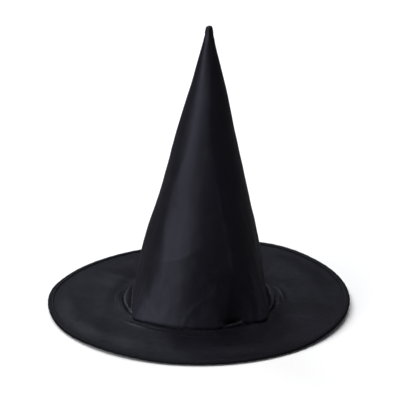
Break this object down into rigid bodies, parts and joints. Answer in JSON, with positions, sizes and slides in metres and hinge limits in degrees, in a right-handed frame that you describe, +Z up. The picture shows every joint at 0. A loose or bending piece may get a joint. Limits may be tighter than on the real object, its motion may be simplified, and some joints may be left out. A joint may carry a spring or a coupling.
{
  "type": "witch hat",
  "caption": "Tall pointed black cloth hat with a wide, flat, wire-edged round brim; the cone bends over at half height and near its point.",
  "frame": {"origin": "middle of the brim's underside, on the plane the brim rests on", "axes": "+Z up through the crown, -Y the front, +Y the back, where the crown's seam is; +X the side the crown leans to"},
  "size_m": [0.38, 0.38, 0.361],
  "materials": {
    "crown_cloth": "black woven polyester with a soft satin sheen and a slight violet cast",
    "brim_cloth": "black woven polyester, flatter than the crown",
    "brim_stiffener": "stiff matt felt between the brim's two cloths, not seen",
    "crown_lining": "matt black non-woven stiffening fused to the back of the cloth",
    "seam_allowance": "turned-in edges of the crown's cloth, pressed flat",
    "edge_binding": "black bias tape, folded and stitched",
    "seam_tape": "black woven tape over the raw edges",
    "sweatband": "shiny black lining satin, loosely gathered",
    "thread": "black polyester sewing thread",
    "spring_steel": "bright drawn spring wire",
    "ferrule_steel": "plated tube, crimped"
  },
  "bodies": {
    "brim_and_lower_crown": {"brim_under_cloth": "brim_cloth", "brim_stiffener": "brim_stiffener", "brim_top_cloth": "brim_cloth", "edge_binding": "edge_binding", "edge_binding_thread": "thread", "hoop_wire": "spring_steel", "hoop_ferrule": "ferrule_steel", "head_seam_tape": "seam_tape", "head_seam_thread": "thread", "sweatband": "sweatband", "sweatband_thread": "thread", "crown_cloth_lower": "crown_cloth", "crown_lining_lower": "crown_lining", "back_seam_lower": "seam_allowance", "crown_cloth_bend": "crown_cloth", "crown_lining_bend": "crown_lining", "back_seam_bend": "seam_allowance"},
    "middle_crown": {"crown_cloth_middle": "crown_cloth", "crown_lining_middle": "crown_lining", "back_seam_middle": "seam_allowance", "crown_cloth_tip_bend": "crown_cloth", "crown_lining_tip_bend": "crown_lining", "back_seam_tip_bend": "seam_allowance"},
    "crown_tip": {"crown_cloth_tip": "crown_cloth", "crown_lining_tip": "crown_lining", "back_seam_tip": "seam_allowance", "tip_tuck": "crown_cloth"}
  },
  "joints": [
    {"name": "crown_bend", "type": "hinge", "parent": "brim_and_lower_crown", "child": "middle_crown", "pos_m": [0.00568, 0, 0.16], "axis": [0, 1, 0], "range_deg": [-60, 60], "stiffness_Nm_per_rad": 0.06, "deforming": ["crown_cloth_bend", "crown_lining_bend", "back_seam_bend"]},
    {"name": "tip_bend", "type": "hinge", "parent": "middle_crown", "child": "crown_tip", "pos_m": [0.00987, 0, 0.278], "axis": [0, 1, 0], "range_deg": [-75, 75], "stiffness_Nm_per_rad": 0.01, "deforming": ["crown_cloth_tip_bend", "crown_lining_tip_bend", "back_seam_tip_bend"]}
  ]
}
